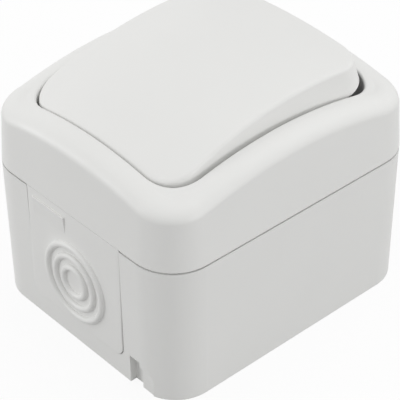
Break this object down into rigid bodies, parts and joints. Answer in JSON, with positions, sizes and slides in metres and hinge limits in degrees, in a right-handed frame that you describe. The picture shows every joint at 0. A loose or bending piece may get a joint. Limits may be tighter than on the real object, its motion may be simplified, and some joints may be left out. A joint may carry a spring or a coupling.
{
  "type": "surface mounted light switch",
  "caption": "Surface mounted light switch in a deep box, with a wide bowed rocker in a crowned cover and a ringed cable entry plate at each end.",
  "frame": {"origin": "centre of the back of the box, on the wall", "axes": "+Z out of the wall, Y along the long sides with a cable entry plate at each end, X across; at rest the end of the rocker at -Y is pressed in"},
  "size_m": [0.066, 0.0798, 0.0645],
  "materials": {
    "white_plastic": "slightly warm white moulded plastic, semi-matt",
    "grey_rubber": "moulded grey rubber",
    "mechanism_plastic": "light grey moulded plastic",
    "dark_plastic": "dark grey moulded plastic",
    "spring_steel": "bright spring wire",
    "zinc_steel": "bright zinc plated steel",
    "terminal_steel": "zinc plated steel cages",
    "contact_brass": "stamped brass",
    "silver_contact": "plain silver alloy contacts"
  },
  "bodies": {
    "housing": {"back_box": "white_plastic", "front_cover": "white_plastic", "cover_gasket": "grey_rubber", "cable_entry_plate": "white_plastic", "cable_entry_plate_upper": "white_plastic", "rocker_seal": "grey_rubber", "cover_screws": "zinc_steel", "mechanism_housing": "mechanism_plastic", "mechanism_cover": "mechanism_plastic", "mechanism_screws": "zinc_steel", "common_terminal": "contact_brass", "fixed_contact_a": "contact_brass", "fixed_contact_b": "contact_brass", "fixed_contact_rivets": "silver_contact", "terminal_clamps": "terminal_steel", "terminal_screws": "zinc_steel", "earth_terminal": "contact_brass", "earth_screw": "zinc_steel"},
    "rocker": {"rocker": "white_plastic"},
    "cradle": {"cradle": "dark_plastic", "plunger_spring": "spring_steel"},
    "plunger": {"plunger": "dark_plastic"},
    "contact": {"contact_bridge": "contact_brass", "moving_contacts": "silver_contact"}
  },
  "joints": [
    {"name": "rocker_tilt", "type": "hinge", "parent": "housing", "child": "rocker", "pos_m": [0, 0, 0.046], "axis": [-1, 0, 0], "range_deg": [0, 14.4]},
    {"name": "cradle_tilt", "type": "hinge", "parent": "housing", "child": "cradle", "pos_m": [0, 0, 0.03], "axis": [-1, 0, 0], "range_deg": [-23.32, 0]},
    {"name": "contact_tilt", "type": "hinge", "parent": "housing", "child": "contact", "pos_m": [0, 0, 0.017], "axis": [-1, 0, 0], "range_deg": [0, 10.8]},
    {"name": "plunger_slide", "type": "slide", "parent": "cradle", "child": "plunger", "axis": [0, 0.2019, 0.9794], "range_m": [0, 0.001], "stiffness_N_per_m": 400, "deforming": ["plunger_spring"]}
  ],
  "couplings": [
    {"joint": "cradle_tilt", "follows": "rocker_tilt", "ratio": -1.618},
    {"joint": "contact_tilt", "follows": "rocker_tilt", "ratio": 0.75}
  ]
}
